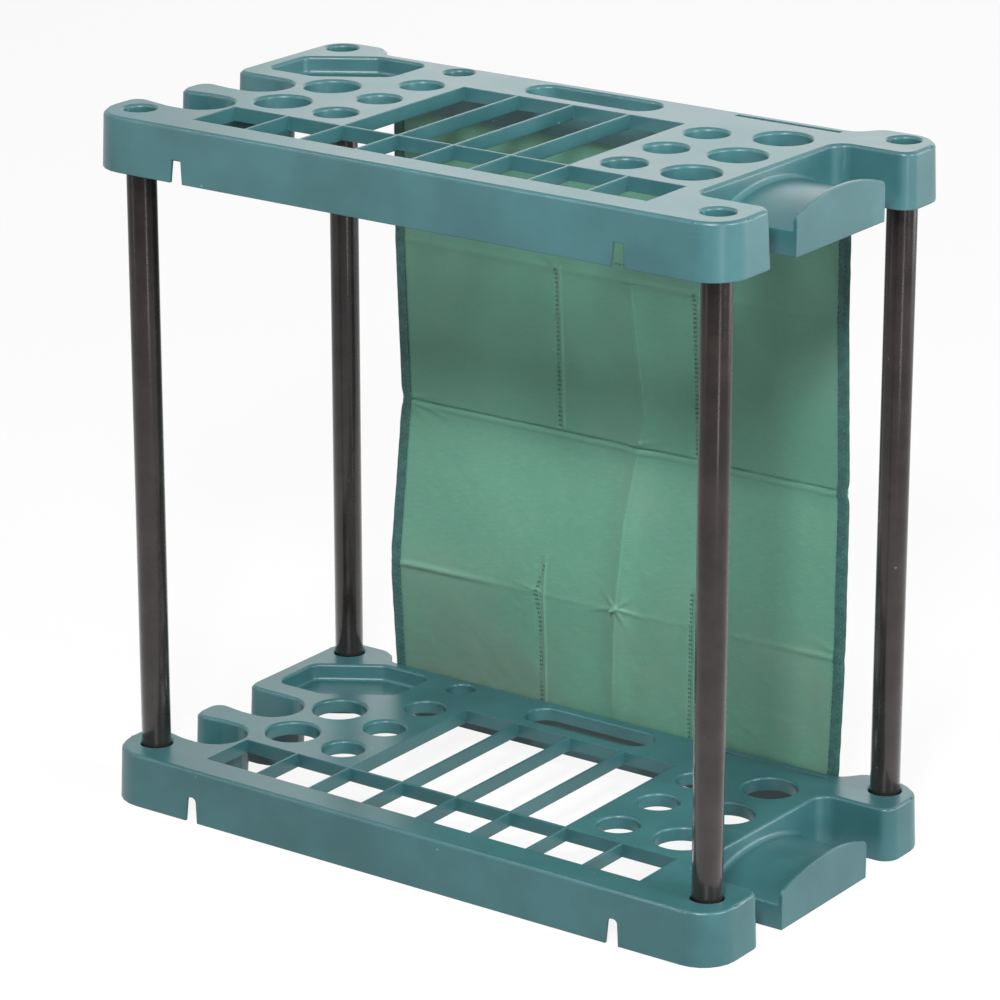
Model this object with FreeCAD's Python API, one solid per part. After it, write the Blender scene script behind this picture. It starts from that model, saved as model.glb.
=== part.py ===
import FreeCAD, Part
import math
import os

# Freestanding garden tool rack: two moulded shelves on four tubular posts,
# with a cloth tool organiser hung on the back of the upper shelf.
# Frame: X along the length, +Y to the rear, +Z up, millimetres.
# The origin is the middle of the footprint, on the floor.

# Overall sizes
rackHeight = 600.0
shelfLength = 620.0
shelfDepth = 330.0
shelfHeight = 46.0
postEndInset = 30.0
frontPostInset = 35.8
rearPostInset = 24.2

# Moulded shelf sections
plateThickness = 3.0
skirtThickness = 2.6
skirtFlare = 1.8
rimEase = 2.8
webThickness = 2.0
wallDepth = 12.0

# Shelf plan: corner blocks, end bites and the hanger bay
frontLeftRound = 34.0
frontRightRound = 29.0
rearRightRound = 30.0
rearLeftRound = 24.0
tipRound = 12.0
valleyRound = 18.0
leftStep = 6.5
fingerStep = 11.0
biteWidth = 49.0
biteDepth = 81.7
biteMouthDepth = 42.2
frontBiteY = -82.7
rearBiteY = -4.7
tipFlare = 9.0
blockFrontDepth = 69.8
blockRearDepth = 62.2
bayDepth = 68.7
bayWallSlant = 2.5
bayRound = 14.0
recessDepth = 19.6
recessEndInset = 74.2
recessRound = 15.0
recessRun = 15.0

# Hanger saddle and its upstanding lip at the right end
saddleBlockGap = 34.5
saddleFrontShift = 2.5
saddleCrest = 34.0
saddleShoulder = 20.5
saddleEdgeRound = 3.0
saddleRootEase = 5.0
lipThickness = 3.0
lipCrest = 43.0
lipShoulder = 32.0
lipCornerRound = 7.0

# Round tool holes
largeHoleRadius = 22.7
smallHoleRadius = 17.4
tinyHoleRadius = 12.0
holeMouthEase = 2.6
collarThickness = 2.4
collarSides = 12
outerTurn = 15.0
innerTurn = 24.0
largeHoleInset = 39.5
holeColumnStep = 58.8
largeFirstY = -43.5
largePitch = 66.0
smallFirstY = -48.7
smallPitch = 58.5
tinyHoleStep = 38.0
tinyHoleInset = 19.6

# Tool grid
gridPitch = 55.3
gridEndWeb = 16.0
longCellWeb = 10.0
gridFrontY = -135.1
longCellInset = 30.6
dividerThickness = 2.0

# Obround slot, strap slot and recessed tray
slotLength = 126.5
slotWidth = 34.0
slotInset = 28.6
slotMouthEase = 2.4
strapSlotLength = 99.0
strapSlotWidth = 5.0
strapSlotEndInset = 62.5
strapSlotInset = 10.8
trayEndInset = 22.7
trayLength = 104.0
trayRearInset = 32.2
trayWidth = 87.0
trayChamferX = 54.0
trayChamferY = 35.0
trayDepth = 15.5
trayFloor = 2.5
trayRound = 11.0
trayFloorEase = 3.5

# Front skirt notches
notchX = 214.0
notchFoot = 12.6
notchTop = 9.0
upperNotchHeight = 19.0
lowerNotchHeight = 22.0
lowerNotchRound = 4.0

# Posts and their sockets
postRadius = 12.5
postWall = 1.2
socketClearance = 0.3
socketWall = 2.8
stopHeight = 4.0
lowerStopTop = 6.0
upperStopDepth = 8.0
gussetThickness = 2.0
gussetDrop = 30.0

# Cloth organiser
clothEndGap = 6.0
clothThickness = 1.2
clothGap = 0.4
clothBottom = 12.0
stripHeight = 22.0
stripThickness = 2.0
stripTopDrop = 7.0
hangGap = 0.6
softFoldZ = 438.0
sharpFoldZ = 291.0
lowFoldZ = 144.0
softFoldShift = 0.6
sharpFoldShift = 6.0
lowFoldLeftShift = -7.0
lowFoldRightShift = 4.0
bottomShift = 1.0
upperSeamLeftX = -60.0
lowerSeamLeftX = -72.0
seamRightX = 80.0
upperPocketFoot = 296.0
lowerPocketFoot = 31.0
pocketHeight = 141.0
pocketBulge = 11.4
pocketFootBulge = 0.6
pocketFlats = 4
seamWidth = 4.0
bindingWidth = 10.0
bindingThickness = 0.8
hemHeight = 9.0

# Rivets that hold the header strip
rivetSides = 10
rivetHeadRadius = 6.0
rivetHeadHeight = 2.2
rivetCrownRadius = 3.4
rivetShankRadius = 2.4
rivetHoleClearance = 0.2
rivetTailRadius = 4.0
rivetTailHeight = 2.0
rivetEndInset = 33.0
rivetCount = 4
seatGap = 0.3

# Places worked out from the sizes above
leftX = -shelfLength / 2 + skirtFlare
rightX = -leftX
frontY = -shelfDepth / 2 + skirtFlare
rearY = -frontY
frontPostY = -shelfDepth / 2 + frontPostInset
rearPostY = shelfDepth / 2 - rearPostInset
postX = shelfLength / 2 - postEndInset
upperShelfZ = rackHeight - shelfHeight
socketRadius = postRadius + socketClearance
recessY = rearY - recessDepth
recessHalfLength = rightX - recessEndInset
bayWallX = rightX - bayDepth
frontBlockY = frontY + blockFrontDepth - skirtFlare
rearBlockY = rearY - blockRearDepth + skirtFlare
saddleCentreY = (frontBlockY + rearBlockY) / 2 - saddleFrontShift
saddleHalfWidth = (rearBlockY - frontBlockY) / 2 - saddleBlockGap
biteEndX = leftX + biteDepth
biteMouthX = leftX + biteMouthDepth
largeColumnX = bayWallX - largeHoleInset
smallColumnX = largeColumnX - holeColumnStep
crossbarY = gridFrontY + gridPitch
slotY = recessY - slotInset
longCellEndY = slotY - longCellInset
gridCells = 2 * int((bayWallX - gridEndWeb) / gridPitch)
longCells = 2 * int((smallColumnX - smallHoleRadius - longCellWeb) / gridPitch)
strapSlotX = bayWallX - strapSlotEndInset
strapSlotY = recessY - strapSlotInset
trayLeftX = leftX + trayEndInset
trayRightX = trayLeftX + trayLength
trayRearY = rearY - trayRearInset
trayFrontY = trayRearY - trayWidth
tinyHoleX = trayRightX + tinyHoleStep
tinyHoleY = recessY - tinyHoleInset
clothWidth = 2 * (recessHalfLength - clothEndGap)
rivetSpacing = (clothWidth - 2 * rivetEndInset) / (rivetCount - 1)
stripTop = rackHeight - stripTopDrop
stripBottom = stripTop - stripHeight
rivetZ = (stripTop + stripBottom) / 2
stripY = recessY + skirtFlare * (rackHeight - stripBottom) / shelfHeight + seatGap
clothTop = stripBottom - hangGap
clothY = recessY + skirtFlare + seatGap + bindingThickness + seatGap + clothThickness / 2
pocketStripWidth = clothWidth + 2 * bindingThickness - 2 * bindingWidth
upperSeams = [upperSeamLeftX, seamRightX]
lowerSeams = [lowerSeamLeftX, seamRightX]
cutMargin = 1.0
through = shelfHeight + 2 * cutMargin


def vec(x, y, z):
    return FreeCAD.Vector(x, y, z)


def onPlan(z):
    """Places a plan point at height z."""
    return lambda u, v: vec(u, v, z)


def cornerPoints(before, corner, after, turn):
    """Points along the arc that rounds a corner (u, v, radius), about one for each turn in degrees."""
    here = FreeCAD.Vector(corner[0], corner[1], 0)
    if corner[2] == 0:
        return [here]
    back = (FreeCAD.Vector(before[0], before[1], 0) - here).normalize()
    ahead = (FreeCAD.Vector(after[0], after[1], 0) - here).normalize()
    half = back.getAngle(ahead) / 2
    centre = here + (back + ahead).normalize() * (corner[2] / math.sin(half))
    sweep = math.pi - 2 * half
    steps = max(1, round(math.degrees(sweep) / turn))
    side = 1 if ahead.cross(back).z > 0 else -1
    arm = here + back * (corner[2] / math.tan(half)) - centre
    points = []
    for i in range(steps + 1):
        angle = side * sweep * i / steps
        rise = arm.y * math.cos(angle) + arm.x * math.sin(angle)
        points.append(centre + FreeCAD.Vector(arm.x * math.cos(angle) - arm.y * math.sin(angle), rise, 0))
    return points


def roundedWire(corners, place, turn=outerTurn):
    """A closed outline through the corners, each (u, v, radius)."""
    points = []
    for i, corner in enumerate(corners):
        arc = cornerPoints(corners[i - 1], corner, corners[(i + 1) % len(corners)], turn)
        points += [place(p.x, p.y) for p in arc]
    return Part.makePolygon(points + points[:1])


def offsetCorners(corners, distance):
    """Moves a counterclockwise outline outward; convex radii grow and hollow ones shrink."""
    moved = []
    for i, (u, v, radius) in enumerate(corners):
        before = corners[i - 1]
        after = corners[(i + 1) % len(corners)]
        first = FreeCAD.Vector(u - before[0], v - before[1], 0).normalize()
        second = FreeCAD.Vector(after[0] - u, after[1] - v, 0).normalize()
        normalA = FreeCAD.Vector(first.y, -first.x, 0)
        normalB = FreeCAD.Vector(second.y, -second.x, 0)
        shift = (normalA + normalB) * (distance / (1 + normalA.dot(normalB)))
        turn = 1 if first.cross(second).z > 0 else -1
        grown = radius + turn * distance if radius > 0 else 0
        moved.append((u + shift.x, v + shift.y, grown))
    return moved


def prism(corners, bottom, top):
    """An upright solid under the plate with the rounded plan outline."""
    return Part.Face(roundedWire(corners, onPlan(bottom), innerTurn)).extrude(vec(0, 0, top - bottom))


def steppedSolid(corners, steps, turn=outerTurn):
    """An upright solid through (height, offset) steps of one plan outline."""
    wires = [roundedWire(offsetCorners(corners, offset), onPlan(z), turn) for z, offset in steps]
    return Part.makeLoft(wires, True, True)


def sidedRing(radius, sides, place):
    """A regular outline drawn close round a circle."""
    reach = radius / math.cos(math.pi / sides)
    turns = [2 * math.pi * i / sides for i in range(sides)]
    points = [place(reach * math.cos(turn), reach * math.sin(turn)) for turn in turns]
    return Part.makePolygon(points + points[:1])


def sidedPillar(x, y, radius, bottom, top):
    """An upright solid whose hidden sides stand in for a round wall."""
    ring = sidedRing(radius, collarSides, lambda u, v: vec(x + u, y + v, bottom))
    return Part.Face(ring).extrude(vec(0, 0, top - bottom))


def box(x0, y0, z0, x1, y1, z1):
    return Part.makeBox(x1 - x0, y1 - y0, z1 - z0, vec(x0, y0, z0))


def shelfOutline():
    """Top edge line of a shelf, counterclockwise from the front-left corner."""
    bayFront = bayWallX - bayWallSlant
    bayRear = bayWallX + bayWallSlant
    left = leftX + leftStep
    finger = leftX + fingerStep
    half = biteWidth / 2
    return [
        (leftX, frontY, frontLeftRound),
        (rightX, frontY, frontRightRound),
        (rightX, frontBlockY, tipRound),
        (bayFront, frontBlockY, bayRound),
        (bayRear, rearBlockY, bayRound),
        (rightX, rearBlockY, tipRound),
        (rightX, rearY, rearRightRound),
        (recessHalfLength + recessRun, rearY, recessRound),
        (recessHalfLength, recessY, recessRound),
        (-recessHalfLength, recessY, recessRound),
        (-recessHalfLength - recessRun, rearY, recessRound),
        (left, rearY, rearLeftRound),
        (left, rearBiteY + half, tipRound),
        (biteEndX, rearBiteY + half, half - cutMargin / 2),
        (biteEndX, rearBiteY - half, half - cutMargin / 2),
        (biteMouthX, rearBiteY - half, valleyRound),
        (finger, rearBiteY - half + tipFlare / 2, tipRound),
        (finger, frontBiteY + half - tipFlare / 2, tipRound),
        (biteMouthX, frontBiteY + half, valleyRound),
        (biteEndX, frontBiteY + half, half - cutMargin / 2),
        (biteEndX, frontBiteY - half, half - cutMargin / 2),
        (biteMouthX, frontBiteY - half, valleyRound),
        (leftX, frontBiteY - half + tipFlare, tipRound),
    ]


def roundHoles():
    """Centre and bore radius of every round tool hole."""
    holes = [(tinyHoleX, tinyHoleY, tinyHoleRadius)]
    for row in range(3):
        holes.append((-smallColumnX, smallFirstY + row * smallPitch, smallHoleRadius))
        holes.append((smallColumnX, smallFirstY + row * smallPitch, smallHoleRadius))
        holes.append((largeColumnX, largeFirstY + row * largePitch, largeHoleRadius))
        if row < 2:
            holes.append((-largeColumnX, largeFirstY + row * largePitch, largeHoleRadius))
    return holes


def gridCellPlans():
    """Plan rectangles of the square cells and of the long cells behind the middle ones."""
    half = dividerThickness / 2
    start = -gridPitch * gridCells / 2
    cells = []
    for i in range(gridCells):
        x = start + i * gridPitch
        cells.append((x + half, gridFrontY, x + gridPitch - half, crossbarY - half))
    firstLong = (gridCells - longCells) // 2
    for i in range(firstLong, firstLong + longCells):
        x = start + i * gridPitch
        cells.append((x + half, crossbarY + half, x + gridPitch - half, longCellEndY))
    return cells


def trayOutline():
    return [
        (trayLeftX, trayFrontY, trayRound),
        (trayRightX - trayChamferX, trayFrontY, trayRound),
        (trayRightX, trayFrontY + trayChamferY, trayRound),
        (trayRightX, trayRearY, trayRound),
        (trayLeftX + trayChamferX, trayRearY, trayRound),
        (trayLeftX, trayRearY - trayChamferY, trayRound),
    ]


def slotOutline():
    half = slotLength / 2
    radius = slotWidth / 2
    bend = radius - cutMargin / 2
    return [
        (-half, slotY - radius, bend),
        (half, slotY - radius, bend),
        (half, slotY + radius, bend),
        (-half, slotY + radius, bend),
    ]


def postPlaces():
    return [(x, y) for x in (-postX, postX) for y in (frontPostY, rearPostY)]


def skirtSpread(z):
    """How far the flared skirt stands out from the top outline at height z."""
    return skirtFlare * (shelfHeight - z) / shelfHeight


def shelfShell():
    """The inverted tray: top plate, eased rim and flared skirts, open below."""
    band = shelfHeight - rimEase
    steps = [(0, skirtFlare), (band, skirtSpread(band)), (shelfHeight, -rimEase)]
    return steppedSolid(shelfOutline(), steps).cut(shelfCavity())


def shelfCavity():
    """The space under the plate, inside the skirts."""
    floor = -cutMargin
    ceiling = shelfHeight - plateThickness
    steps = [(z, skirtSpread(z) - skirtThickness) for z in (floor, ceiling)]
    return steppedSolid(shelfOutline(), steps, innerTurn)


def hangerSaddle():
    """Arched cradle in the bay at the right end, hollow below, with its end lip."""
    half = saddleHalfWidth
    inner = half - skirtThickness
    drop = plateThickness
    start = bayWallX - bayWallSlant - 2 * skirtThickness
    profile = Part.Wire([
        Part.LineSegment(vec(start, -half, 0), vec(start, -half, saddleShoulder)).toShape(),
        Part.Arc(vec(start, -half, saddleShoulder), vec(start, 0, saddleCrest),
                 vec(start, half, saddleShoulder)).toShape(),
        Part.LineSegment(vec(start, half, saddleShoulder), vec(start, half, 0)).toShape(),
        Part.LineSegment(vec(start, half, 0), vec(start, inner, 0)).toShape(),
        Part.LineSegment(vec(start, inner, 0), vec(start, inner, saddleShoulder - drop)).toShape(),
        Part.Arc(vec(start, inner, saddleShoulder - drop), vec(start, 0, saddleCrest - drop),
                 vec(start, -inner, saddleShoulder - drop)).toShape(),
        Part.LineSegment(vec(start, -inner, saddleShoulder - drop), vec(start, -inner, 0)).toShape(),
        Part.LineSegment(vec(start, -inner, 0), vec(start, -half, 0)).toShape(),
    ])
    cradle = Part.Face(profile).extrude(vec(rightX - start, 0, 0))
    shoulders = [e for e in cradle.Edges
                 if abs(e.BoundBox.ZMin - saddleShoulder) < 0.01 and e.BoundBox.ZLength < 0.01]
    cradle = cradle.makeFillet(saddleEdgeRound, shoulders)
    return cradle.translated(vec(0, saddleCentreY, 0))


def hangerLip():
    """Upstanding end plate with an arched top."""
    half = saddleHalfWidth
    rise = lipCrest - lipShoulder
    archRadius = (half * half + rise * rise) / (2 * rise)
    plate = box(rightX - lipThickness, -half, 0, rightX, half, lipCrest)
    arch = Part.makeCylinder(archRadius, lipThickness, vec(rightX - lipThickness, 0, lipCrest - archRadius),
                             vec(1, 0, 0))
    plate = plate.common(arch)
    corners = [e for e in plate.Edges if e.BoundBox.XLength > lipThickness / 2
               and e.BoundBox.ZMin > lipShoulder - 1]
    plate = plate.makeFillet(lipCornerRound, corners)
    return plate.translated(vec(0, saddleCentreY, 0))


def gridWalls():
    """Solid slab round the grid, down to the depth of its walls; the cells are cut later."""
    half = gridPitch * gridCells / 2
    halfLong = gridPitch * longCells / 2
    low = shelfHeight - wallDepth
    edge = webThickness
    front = box(-half - edge, gridFrontY - edge, low, half + edge, crossbarY + edge, shelfHeight)
    rear = box(-halfLong - edge, crossbarY, low, halfLong + edge, longCellEndY + edge, shelfHeight)
    return front.fuse(rear)


def socketBody(x, y):
    """Tube that takes a post, with two gussets to the skirts."""
    radius = socketRadius + socketWall
    tube = sidedPillar(x, y, radius, 0, shelfHeight - cutMargin)
    half = gussetThickness / 2
    low = shelfHeight - gussetDrop
    side = rightX if x > 0 else leftX
    face = rearY if y > 0 else frontY
    across = box(min(x, side), y - half, low, max(x, side), y + half, shelfHeight - cutMargin)
    along = box(x - half, min(y, face), low, x + half, max(y, face), shelfHeight - cutMargin)
    return tube.fuse([across, along])


def mouthedHole(x, y, radius):
    """Cutter for a through hole with an eased upper edge."""
    top = shelfHeight
    outline = [
        vec(0, 0, -cutMargin),
        vec(radius, 0, -cutMargin),
        vec(radius, 0, top - holeMouthEase),
        vec(radius + holeMouthEase, 0, top),
        vec(radius + holeMouthEase, 0, top + cutMargin),
        vec(0, 0, top + cutMargin),
        vec(0, 0, -cutMargin),
    ]
    face = Part.Face(Part.makePolygon(outline))
    return face.revolve(vec(0, 0, 0), vec(0, 0, 1), 360).translated(vec(x, y, 0))


def mouthSteps():
    """Upper steps of a cutter whose mouth is eased."""
    top = shelfHeight
    return [(top - slotMouthEase, 0), (top, slotMouthEase), (top + cutMargin, slotMouthEase)]


def crossStop(x, y, bottom):
    """Cross web in a socket that the post's end bears on."""
    reach = socketRadius + socketWall / 2
    half = webThickness / 2
    along = box(x - reach, y - half, bottom, x + reach, y + half, bottom + stopHeight)
    across = box(x - half, y - reach, bottom, x + half, y + reach, bottom + stopHeight)
    return along.fuse(across)


def notchCutter(x, height, topRound):
    """Slot in the lower edge of the front skirt, narrower at the top."""
    foot = notchFoot / 2
    top = notchTop / 2
    corners = [(x - foot, -cutMargin, 0), (x + foot, -cutMargin, 0), (x + top, height, topRound),
               (x - top, height, topRound)]
    front = -shelfDepth / 2 - cutMargin
    wire = roundedWire(corners, lambda u, v: vec(u, front, v))
    return Part.Face(wire).extrude(vec(0, skirtThickness + skirtFlare + 3 * cutMargin, 0))


def shelf(stopBottom, notchHeight, notchRound):
    """One moulded shelf with its foot at z 0."""
    top = shelfHeight
    under = top - cutMargin
    trimmer = steppedSolid(shelfOutline(), [(0, skirtFlare - cutMargin / 2), (top, -cutMargin / 2)])
    inside = [gridWalls()]
    for x, y, radius in roundHoles():
        inside.append(sidedPillar(x, y, radius + collarThickness, top - wallDepth, under))
    inside.append(prism(offsetCorners(slotOutline(), collarThickness), top - wallDepth, under))
    inside.append(prism(offsetCorners(trayOutline(), collarThickness), top - trayDepth - trayFloor, under))
    for x, y in postPlaces():
        inside.append(socketBody(x, y))
    inside = [piece.common(trimmer) for piece in inside]
    bay = hangerSaddle().cut(shelfCavity())
    body = shelfShell().fuse(inside + [bay, hangerLip()])

    cutters = [notchCutter(x, notchHeight, notchRound) for x in (-notchX, notchX)]
    for x, y, radius in roundHoles():
        cutters.append(mouthedHole(x, y, radius))
    for x, y in postPlaces():
        cutters.append(mouthedHole(x, y, socketRadius))
    for x0, y0, x1, y1 in gridCellPlans():
        cutters.append(box(x0, y0, -cutMargin, x1, y1, top + cutMargin))
    half = strapSlotLength / 2
    wide = strapSlotWidth / 2
    cutters.append(box(strapSlotX - half, strapSlotY - wide, -cutMargin,
                       strapSlotX + half, strapSlotY + wide, top + cutMargin))
    cutters.append(steppedSolid(slotOutline(), [(-cutMargin, 0)] + mouthSteps()))
    pan = top - trayDepth
    cutters.append(steppedSolid(trayOutline(), [(pan, -trayFloorEase), (pan + trayFloorEase, 0)] + mouthSteps()))
    body = body.cut(cutters)
    body = body.makeChamfer(saddleRootEase, saddleRoots(body))
    stops = [crossStop(x, y, stopBottom) for x, y in postPlaces()]
    return body.fuse(stops).removeSplitter()


def saddleRoots(body):
    """Hollow edge where the saddle meets the bay wall."""
    found = []
    for edge in body.Edges:
        bounds = edge.BoundBox
        level = saddleShoulder - cutMargin < bounds.ZMin and bounds.ZMax < saddleCrest + cutMargin
        near = abs(bounds.Center.x - bayWallX) < skirtThickness / 2
        if level and near and bounds.YLength > saddleHalfWidth:
            found.append(edge)
    return found


def post(x, y):
    """Tube from the stop in the lower shelf to the stop in the upper one."""
    bottom = lowerStopTop
    top = rackHeight - upperStopDepth - stopHeight
    tube = Part.makeCylinder(postRadius, top - bottom, vec(x, y, bottom))
    return tube.cut(sidedPillar(x, y, postRadius - postWall, bottom - cutMargin, top + cutMargin))


def clothLine(x):
    """Height and depth of the hanging cloth's middle at its ends and its folds, from the bottom up."""
    share = x / clothWidth + 0.5
    lowShift = lowFoldLeftShift + (lowFoldRightShift - lowFoldLeftShift) * share
    return [
        (clothBottom, clothY + bottomShift),
        (lowFoldZ, clothY + lowShift),
        (sharpFoldZ, clothY + sharpFoldShift),
        (softFoldZ, clothY + softFoldShift),
        (clothTop, clothY),
    ]


def clothDepth(x, z):
    """Y of the cloth's middle at a place on it."""
    line = clothLine(x)
    for (lowZ, lowY), (highZ, highY) in zip(line, line[1:]):
        if z <= highZ:
            return lowY + (highY - lowY) * (z - lowZ) / (highZ - lowZ)
    return line[-1][1]


def clothLevels(low, high):
    """Heights from low to high with the folds between them."""
    folds = [z for z, y in clothLine(0)[1:-1] if low < z < high]
    return [low] + folds + [high]


def clothSlab(x0, x1, low, high, near, far):
    """A slab that follows the cloth's folds, from near to far of its middle."""
    levels = clothLevels(low, high)
    wires = []
    for x in (x0, x1):
        points = [vec(x, clothDepth(x, z) + far, z) for z in levels]
        points += [vec(x, clothDepth(x, z) + near, z) for z in reversed(levels)]
        wires.append(Part.makePolygon(points + points[:1]))
    return Part.makeLoft(wires, True, True)


def backPanel():
    half = clothThickness / 2
    return clothSlab(-clothWidth / 2, clothWidth / 2, clothBottom, clothTop, -half, half)


def sideBinding(side):
    """Tape folded over a side edge of the panel; side is -1 or 1."""
    inner = clothThickness / 2 + seatGap
    outer = inner + bindingThickness
    edge = clothWidth / 2 + seatGap
    outside = edge + bindingThickness
    inside = outside - bindingWidth
    low, high = sorted((side * inside, side * outside))
    tape = clothSlab(low, high, clothBottom, clothTop, -outer, outer)
    low, high = sorted((side * (inside - cutMargin), side * edge))
    return tape.cut(clothSlab(low, high, clothBottom - cutMargin, clothTop + cutMargin, -inner, inner))


def bottomBinding():
    """Tape folded over the lower edge, between the side tapes."""
    inner = clothThickness / 2 + seatGap
    outer = inner + bindingThickness
    half = clothWidth / 2 + bindingThickness - bindingWidth
    edge = clothBottom - seatGap
    low = edge - bindingThickness
    wide = half + cutMargin
    tape = clothSlab(-half, half, low, low + bindingWidth, -outer, outer)
    return tape.cut(clothSlab(-wide, wide, edge, low + bindingWidth + cutMargin, -inner, inner))


def pocketLine(z, seams, bulge, depth):
    """Points of one face of a pocket strip at height z: flat at each seam, crowned over each pocket."""
    stops = [-pocketStripWidth / 2] + seams + [pocketStripWidth / 2]
    places = [(stops[0], 0)]
    for left, right in zip(stops, stops[1:]):
        start = left + seamWidth / 2
        width = right - left - seamWidth
        for i in range(pocketFlats + 1):
            share = i / pocketFlats
            places.append((start + width * share, bulge * 4 * share * (1 - share)))
    places.append((stops[-1], 0))
    return [vec(x, clothDepth(x, z) + depth + rise, z) for x, rise in places]


def pocketSection(z, seams, bulge, near, far):
    """Closed plan section of a pocket strip between two distances from the panel's face."""
    base = clothThickness / 2 + clothGap
    inner = pocketLine(z, seams, bulge, base + near)
    outer = pocketLine(z, seams, bulge, base + far)
    return Part.makePolygon(inner + outer[::-1] + inner[:1])


def pocketSlab(foot, seams, low, high, near, far):
    """Part of a pocket strip between two heights, near and far of its inner face."""
    sections = []
    for z in clothLevels(low, high):
        share = (z - foot) / pocketHeight
        bulge = pocketFootBulge + (pocketBulge - pocketFootBulge) * share
        sections.append(pocketSection(z, seams, bulge, near, far))
    return Part.makeLoft(sections, True, True)


def pocketStrip(foot, seams):
    """Cloth strip sewn on in pockets, open at the top."""
    return pocketSlab(foot, seams, foot, foot + pocketHeight, 0, clothThickness)


def pocketHem(foot, seams):
    """Tape on the outside of a pocket strip's upper edge."""
    top = foot + pocketHeight
    near = clothThickness + seatGap
    return pocketSlab(foot, seams, top - hemHeight, top, near, near + bindingThickness)


def rivetPlaces():
    start = -rivetSpacing * (rivetCount - 1) / 2
    return [start + i * rivetSpacing for i in range(rivetCount)]


def headerStrip():
    """Webbing strip along the back of the upper shelf that carries the cloth."""
    half = clothWidth / 2
    strip = box(-half, stripY, stripBottom, half, stripY + stripThickness, stripTop)
    return strip.cut([rivetHole(x) for x in rivetPlaces()])


def rivetRing(x, y, radius):
    """A rivet's sided outline at depth y."""
    return sidedRing(radius, rivetSides, lambda u, v: vec(x + u, y, rivetZ + v))


def rivetHole(x):
    start = stripY + stripThickness + cutMargin
    length = stripThickness + 2 * skirtThickness + skirtFlare + cutMargin
    ring = rivetRing(x, start, rivetShankRadius + rivetHoleClearance)
    return Part.Face(ring).extrude(vec(0, -length, 0))


def rivet(x):
    """Tapered head on the strip, shank through both walls and tail inside the skirt."""
    seat = stripY + stripThickness
    inner = recessY + skirtSpread(rivetZ - upperShelfZ) - skirtThickness - seatGap
    head = Part.makeLoft([rivetRing(x, seat, rivetHeadRadius),
                          rivetRing(x, seat + rivetHeadHeight, rivetCrownRadius)], True, True)
    shank = Part.Face(rivetRing(x, seat, rivetShankRadius)).extrude(vec(0, inner - seat, 0))
    tail = Part.Face(rivetRing(x, inner, rivetTailRadius)).extrude(vec(0, -rivetTailHeight, 0))
    return head.fuse([shank, tail]).removeSplitter()


def upperShelf():
    """The upper moulding, with rivet holes through its rear skirt."""
    stopBottom = shelfHeight - upperStopDepth - stopHeight
    moulding = shelf(stopBottom, upperNotchHeight, 0).translated(vec(0, 0, upperShelfZ))
    return moulding.cut([rivetHole(x) for x in rivetPlaces()])


def buildNodes():
    """Every node by name."""
    nodes = {
        "lower_shelf": shelf(lowerStopTop - stopHeight, lowerNotchHeight, lowerNotchRound),
        "upper_shelf": upperShelf(),
        "organiser_header_strip": headerStrip(),
        "organiser_rivets": Part.makeCompound([rivet(x) for x in rivetPlaces()]),
        "organiser_back_panel": backPanel(),
        "organiser_left_binding": sideBinding(-1),
        "organiser_right_binding": sideBinding(1),
        "organiser_bottom_binding": bottomBinding(),
        "organiser_upper_pockets": pocketStrip(upperPocketFoot, upperSeams),
        "organiser_lower_pockets": pocketStrip(lowerPocketFoot, lowerSeams),
        "organiser_upper_pocket_hem": pocketHem(upperPocketFoot, upperSeams),
        "organiser_lower_pocket_hem": pocketHem(lowerPocketFoot, lowerSeams),
    }
    for name, x, y in (("front_left", -postX, frontPostY), ("front_right", postX, frontPostY),
                       ("rear_left", -postX, rearPostY), ("rear_right", postX, rearPostY)):
        nodes["post_" + name] = post(x, y)
    return nodes


os.makedirs("parts", exist_ok=True)
for name, shape in buildNodes().items():
    shape.exportStep("parts/" + name + ".step")
    print(name, "valid" if shape.isValid() else "INVALID", len(shape.Solids), "solids", round(shape.Volume))
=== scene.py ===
import bpy
import math
import random
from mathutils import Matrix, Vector, noise


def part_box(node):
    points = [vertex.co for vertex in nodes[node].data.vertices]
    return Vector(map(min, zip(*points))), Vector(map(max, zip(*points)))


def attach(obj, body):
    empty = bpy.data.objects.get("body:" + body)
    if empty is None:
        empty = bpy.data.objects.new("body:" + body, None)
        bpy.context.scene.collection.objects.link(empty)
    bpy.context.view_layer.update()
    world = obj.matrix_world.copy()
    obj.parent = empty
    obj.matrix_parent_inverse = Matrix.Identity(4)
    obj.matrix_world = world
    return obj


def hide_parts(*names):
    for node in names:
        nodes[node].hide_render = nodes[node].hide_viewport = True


# Garden tool rack: two moulded polypropylene shelves on coated steel posts, with a cloth
# organiser hung on the back. +X towards the saddle end, +Y to the rear, +Z up. Sizes in
# the pieces' dictionaries are millimetres, and those of the view and the room are metres.

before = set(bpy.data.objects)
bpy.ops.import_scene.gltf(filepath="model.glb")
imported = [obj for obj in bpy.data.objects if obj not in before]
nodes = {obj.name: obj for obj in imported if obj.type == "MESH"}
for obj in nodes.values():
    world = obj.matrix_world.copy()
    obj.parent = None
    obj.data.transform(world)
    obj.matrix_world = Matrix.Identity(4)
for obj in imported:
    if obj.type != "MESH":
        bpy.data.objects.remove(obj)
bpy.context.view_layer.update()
random.seed(4)
print("stage: frame loaded")


def linear(hexColour):
    parts = [int(hexColour[i:i + 2], 16) / 255 for i in (1, 3, 5)]
    turned = [c / 12.92 if c <= 0.04045 else ((c + 0.055) / 1.055) ** 2.4 for c in parts]
    return (*turned, 1.0)


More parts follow.
